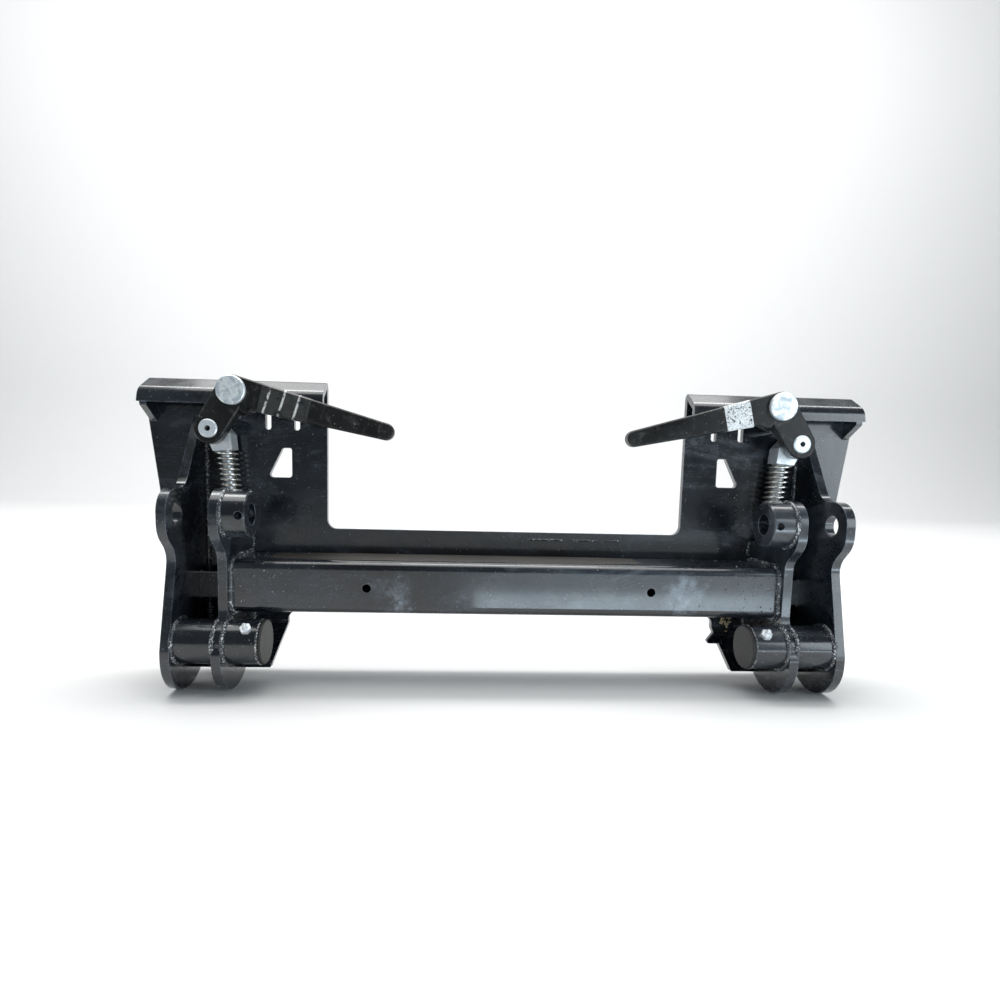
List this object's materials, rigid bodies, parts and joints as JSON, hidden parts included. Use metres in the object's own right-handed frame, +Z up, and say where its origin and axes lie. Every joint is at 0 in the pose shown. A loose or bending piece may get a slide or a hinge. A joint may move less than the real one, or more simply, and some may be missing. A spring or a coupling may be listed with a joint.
{
  "type": "quick coupler",
  "caption": "Quick coupler for a compact loader: ridge-topped plate, cross tube, paired pivot ears, and hand levers that drive sprung locking wedges.",
  "frame": {"origin": "middle of the plate's attachment face, level with the cross tube's axis", "axes": "+X across the coupler, +Y out of the attachment face, +Z up; the loader side faces -Y"},
  "size_m": [1.1094, 0.1525, 0.4527],
  "materials": {
    "frame_paint": "gloss, charcoal black",
    "cap_paint": "satin, grey-brown",
    "lever_paint": "satin, black",
    "mottled_zinc": "mottled zinc plating",
    "bright_zinc": "bright zinc plating",
    "spring_wire": "bright wire",
    "bare_steel": "machined steel",
    "seal_rubber": "matt black"
  },
  "bodies": {
    "frame": {"face_plate": "frame_paint", "cross_tube": "frame_paint", "left_foot": "frame_paint", "left_outer_ear": "frame_paint", "left_inner_ear": "frame_paint", "left_end_gusset": "frame_paint", "left_tilt_boss": "frame_paint", "left_arm_pivot_tube": "frame_paint", "left_arm_pivot_cap": "cap_paint", "left_arm_pivot_bush": "bare_steel", "left_arm_pivot_seal": "seal_rubber", "left_grease_fitting": "bright_zinc", "left_wedge_guide": "frame_paint", "left_lever_stop_pin": "frame_paint", "left_lever_pivot_pin": "mottled_zinc", "right_foot": "frame_paint", "right_outer_ear": "frame_paint", "right_inner_ear": "frame_paint", "right_end_gusset": "frame_paint", "right_tilt_boss": "frame_paint", "right_arm_pivot_tube": "frame_paint", "right_arm_pivot_cap": "cap_paint", "right_arm_pivot_bush": "bare_steel", "right_arm_pivot_seal": "seal_rubber", "right_grease_fitting": "bright_zinc", "right_wedge_guide": "frame_paint", "right_lever_stop_pin": "frame_paint", "right_lever_pivot_pin": "mottled_zinc"},
    "lever_left": {"left_lever": "lever_paint", "left_crank_pin": "bright_zinc", "left_crank_pin_clip": "spring_wire"},
    "strut_left": {"left_strut_clevis": "bright_zinc", "left_strut_rod": "bright_zinc", "left_strut_spring": "spring_wire", "left_spring_seat": "bright_zinc", "left_strut_eye": "bare_steel"},
    "wedge_left": {"left_wedge": "bare_steel", "left_wedge_pin": "bright_zinc"},
    "lever_right": {"right_lever": "lever_paint", "right_crank_pin": "bright_zinc", "right_crank_pin_clip": "spring_wire"},
    "strut_right": {"right_strut_clevis": "bright_zinc", "right_strut_rod": "bright_zinc", "right_strut_spring": "spring_wire", "right_spring_seat": "bright_zinc", "right_strut_eye": "bare_steel"},
    "wedge_right": {"right_wedge": "bare_steel", "right_wedge_pin": "bright_zinc"}
  },
  "joints": [
    {"name": "left_lever_hinge", "type": "hinge", "parent": "frame", "child": "lever_left", "pos_m": [-0.408, -0.046, 0.2787], "axis": [0, -1, 0], "range_deg": [0, 90]},
    {"name": "left_strut_hinge", "type": "hinge", "parent": "lever_left", "child": "strut_left", "pos_m": [-0.4421, -0.031, 0.22348], "axis": [0, -1, 0], "range_deg": [-130.5, 0]},
    {"name": "left_wedge_hinge", "type": "hinge", "parent": "strut_left", "child": "wedge_left", "pos_m": [-0.42897, -0.031, 0.08711], "axis": [0, -1, 0], "range_deg": [0, 40.5]},
    {"name": "right_lever_hinge", "type": "hinge", "parent": "frame", "child": "lever_right", "pos_m": [0.408, -0.046, 0.2787], "axis": [0, 1, 0], "range_deg": [0, 90]},
    {"name": "right_strut_hinge", "type": "hinge", "parent": "lever_right", "child": "strut_right", "pos_m": [0.4421, -0.031, 0.22348], "axis": [0, 1, 0], "range_deg": [-130.5, 0]},
    {"name": "right_wedge_hinge", "type": "hinge", "parent": "strut_right", "child": "wedge_right", "pos_m": [0.42897, -0.031, 0.08711], "axis": [0, 1, 0], "range_deg": [0, 40.5]}
  ],
  "couplings": [
    {"joint": "left_strut_hinge", "follows": "left_lever_hinge", "ratio": -1.45},
    {"joint": "left_wedge_hinge", "follows": "left_lever_hinge", "ratio": 0.45},
    {"joint": "right_strut_hinge", "follows": "right_lever_hinge", "ratio": -1.45},
    {"joint": "right_wedge_hinge", "follows": "right_lever_hinge", "ratio": 0.45}
  ]
}
